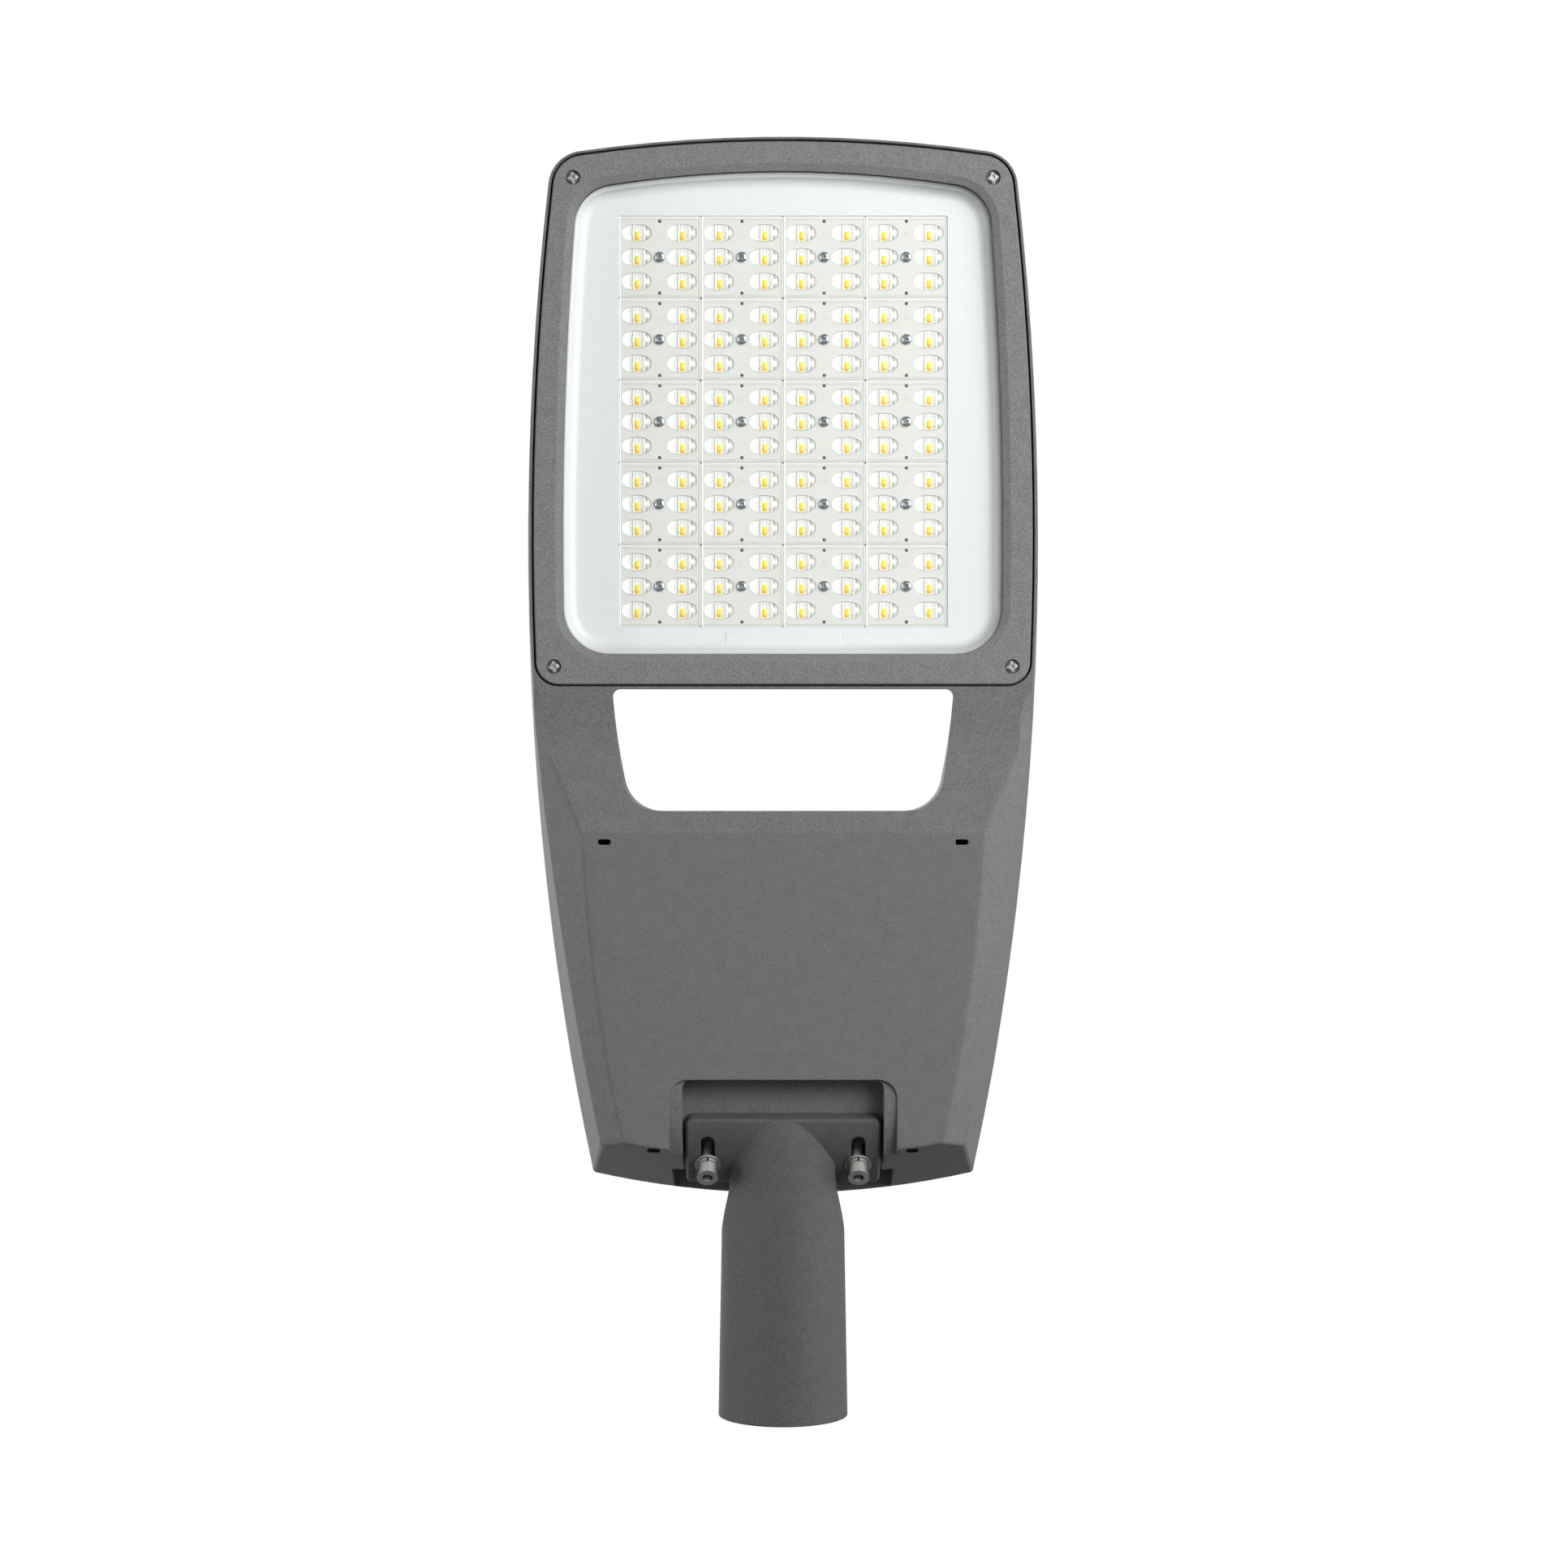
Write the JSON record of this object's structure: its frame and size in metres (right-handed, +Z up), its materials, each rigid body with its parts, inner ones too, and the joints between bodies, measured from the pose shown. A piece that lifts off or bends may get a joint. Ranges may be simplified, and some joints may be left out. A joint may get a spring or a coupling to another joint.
{
  "type": "street light head",
  "caption": "Flat LED street light head with a glazed lens field, finned back, see-through window, driver box and tilting spigot for a side-entry pole.",
  "frame": {"origin": "centre of the spigot bore at its mouth, where the pole enters", "axes": "+Y out of the bore along the pole arm, -Y towards the nose, +Z up to the sky, the light shines towards -Z"},
  "size_m": [0.315, 0.7819, 0.1089],
  "materials": {
    "grey_coat": "fine-textured powder coat on die-cast aluminium",
    "dark_coat": "satin powder coat on cast aluminium",
    "clear_glass": "clear tempered",
    "clear_optic": "clear moulded plastic optic",
    "white_plastic": "smooth moulded",
    "board_white": "white solder mask",
    "led_phosphor": "yellow phosphor",
    "silicone": "moulded silicone",
    "stainless": "stainless",
    "zinc_steel": "zinc plated",
    "driver_case": "anodised",
    "terminal_plastic": "moulded",
    "surge_plastic": "potted case"
  },
  "bodies": {
    "spigot": {"spigot_adapter": "dark_coat", "spigot_set_screws": "zinc_steel"},
    "head": {"housing": "grey_coat", "glass_frame": "grey_coat", "driver_cover": "grey_coat", "cover_glass": "clear_glass", "glass_seal": "silicone", "frame_gasket": "silicone", "cover_gasket": "silicone", "wire_grommets": "silicone", "frame_screws": "stainless", "cover_screws": "stainless", "lens_screws": "stainless", "driver_screws": "stainless", "driver_bracket": "stainless", "clamp_screws": "zinc_steel", "spring_washers": "zinc_steel", "flat_washers": "zinc_steel", "light_tray": "white_plastic", "led_chips": "led_phosphor", "led_driver": "driver_case", "terminal_block": "terminal_plastic", "surge_protector": "surge_plastic", "lens_module_11": "clear_optic", "lens_module_12": "clear_optic", "lens_module_13": "clear_optic", "lens_module_14": "clear_optic", "lens_module_21": "clear_optic", "lens_module_22": "clear_optic", "lens_module_23": "clear_optic", "lens_module_24": "clear_optic", "lens_module_31": "clear_optic", "lens_module_32": "clear_optic", "lens_module_33": "clear_optic", "lens_module_34": "clear_optic", "lens_module_41": "clear_optic", "lens_module_42": "clear_optic", "lens_module_43": "clear_optic", "lens_module_44": "clear_optic", "lens_module_51": "clear_optic", "lens_module_52": "clear_optic", "lens_module_53": "clear_optic", "lens_module_54": "clear_optic", "led_board_1": "board_white", "led_board_2": "board_white", "led_board_3": "board_white", "led_board_4": "board_white"}
  },
  "joints": [
    {"name": "head_tilt", "type": "hinge", "parent": "spigot", "child": "head", "pos_m": [0, -0.1954, 0.0241], "axis": [-1, 0, 0], "range_deg": [0, 15]}
  ]
}
